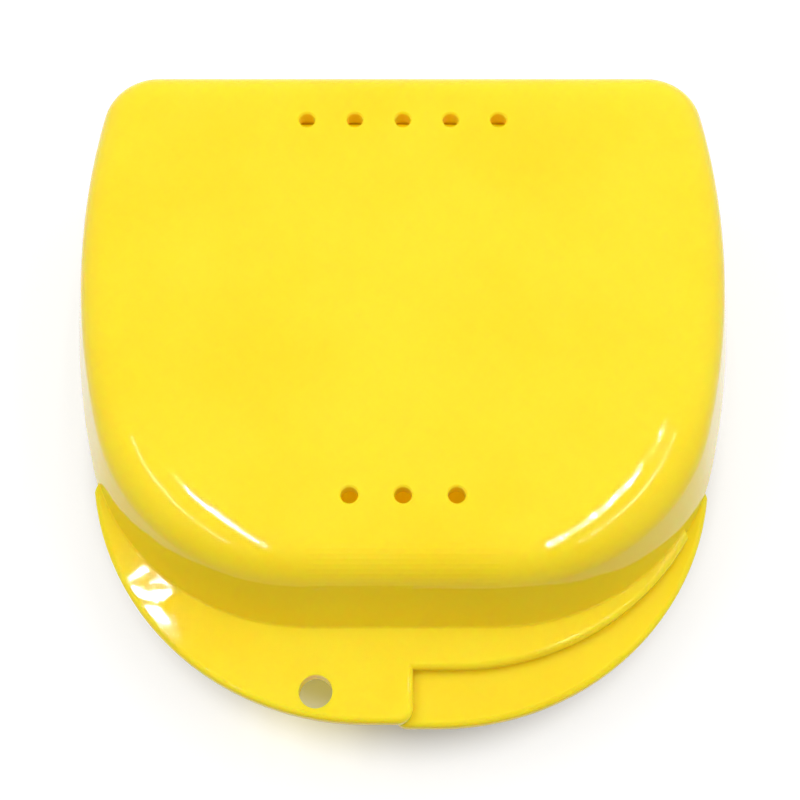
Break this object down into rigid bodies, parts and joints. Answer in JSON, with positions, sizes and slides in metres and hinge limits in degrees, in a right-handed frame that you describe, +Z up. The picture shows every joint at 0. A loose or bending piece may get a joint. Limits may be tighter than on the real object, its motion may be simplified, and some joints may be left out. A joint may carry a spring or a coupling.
{
  "type": "orthodontic retainer case",
  "caption": "Hinged clamshell case for an orthodontic retainer, with rounded walls, vent holes, offset opening tabs and a lanyard hole.",
  "frame": {"origin": "middle of the bottom of the box round the closed case", "axes": "+X across the case to its right side, +Y from the opening tabs to the hinge, +Z up through the lid"},
  "size_m": [0.0806, 0.086, 0.0282],
  "materials": {
    "yellow_plastic": "glossy injection moulded polypropylene",
    "pin_plastic": "smooth moulded rod"
  },
  "bodies": {
    "base": {"base_shell": "yellow_plastic", "hinge_pin_left": "pin_plastic", "hinge_pin_right": "pin_plastic"},
    "lid": {"lid_shell": "yellow_plastic"}
  },
  "joints": [
    {"name": "lid_hinge", "type": "hinge", "parent": "base", "child": "lid", "pos_m": [0, 0.0406, 0.0141], "axis": [-1, 0, 0], "range_deg": [0, 180]}
  ]
}
